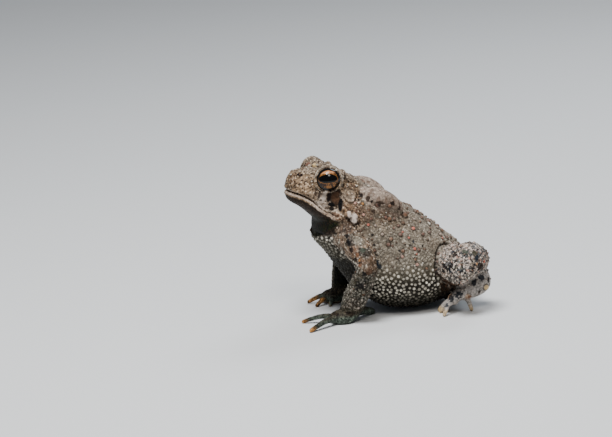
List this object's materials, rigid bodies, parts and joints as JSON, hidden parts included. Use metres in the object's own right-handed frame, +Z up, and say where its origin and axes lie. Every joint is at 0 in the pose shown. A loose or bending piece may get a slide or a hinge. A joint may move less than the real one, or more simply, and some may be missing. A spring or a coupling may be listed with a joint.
{
  "type": "american toad",
  "caption": "Still life-size model of an American toad sitting upright, propped on its front legs with its chin raised and its hind legs folded.",
  "frame": {"origin": "Centre of the bounding box in X and Y, at the level of the floor the toad sits on.", "axes": "The toad faces -Y with its left side toward +X and its back up along +Z."},
  "size_m": [0.0528, 0.0566, 0.0464],
  "materials": {
    "skin": "dry, warty and granular, mottled brown and grey",
    "eye": "wet and glossy, golden-brown iris with a dark pupil"
  },
  "bodies": {
    "root": {"head": "skin", "torso": "skin", "eye_left": "eye", "eye_right": "eye", "upper_arm_left": "skin", "forearm_left": "skin", "hand_left": "skin", "upper_arm_right": "skin", "forearm_right": "skin", "hand_right": "skin", "thigh_left": "skin", "shank_left": "skin", "foot_left": "skin", "thigh_right": "skin", "shank_right": "skin", "foot_right": "skin"}
  },
  "joints": []
}
